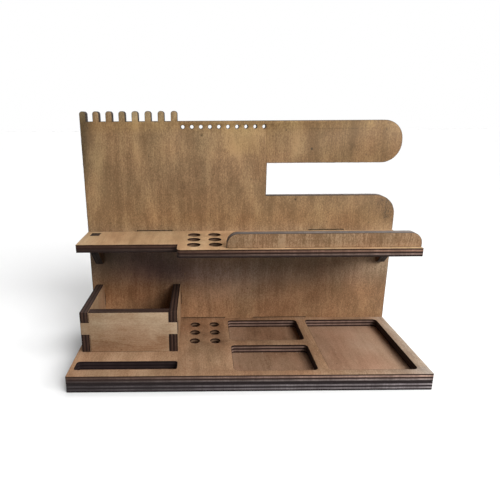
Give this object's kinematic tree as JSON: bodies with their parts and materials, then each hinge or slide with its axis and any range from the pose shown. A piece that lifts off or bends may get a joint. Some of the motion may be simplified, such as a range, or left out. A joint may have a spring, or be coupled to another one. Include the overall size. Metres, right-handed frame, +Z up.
{
  "type": "tool storage caddy",
  "caption": "Slotted plywood desk stand for hobby tools: recessed base, open box, holed shelf with a lip, and a back panel with comb, drill holes and two arms.",
  "frame": {"origin": "centre of the footprint on the table, under the base and the back panel", "axes": "+X to the right, +Y to the back, +Z up; the front is at -Y"},
  "size_m": [0.25, 0.0914, 0.1862],
  "materials": {
    "plywood": "matt brown stain"
  },
  "bodies": {
    "root": {"base_bottom_board": "plywood", "base_top_board": "plywood", "back_panel": "plywood", "shelf_board": "plywood", "shelf_lip": "plywood", "box_left_wall": "plywood", "box_right_wall": "plywood", "box_front_wall": "plywood", "left_bracket": "plywood", "right_bracket": "plywood"}
  },
  "joints": []
}
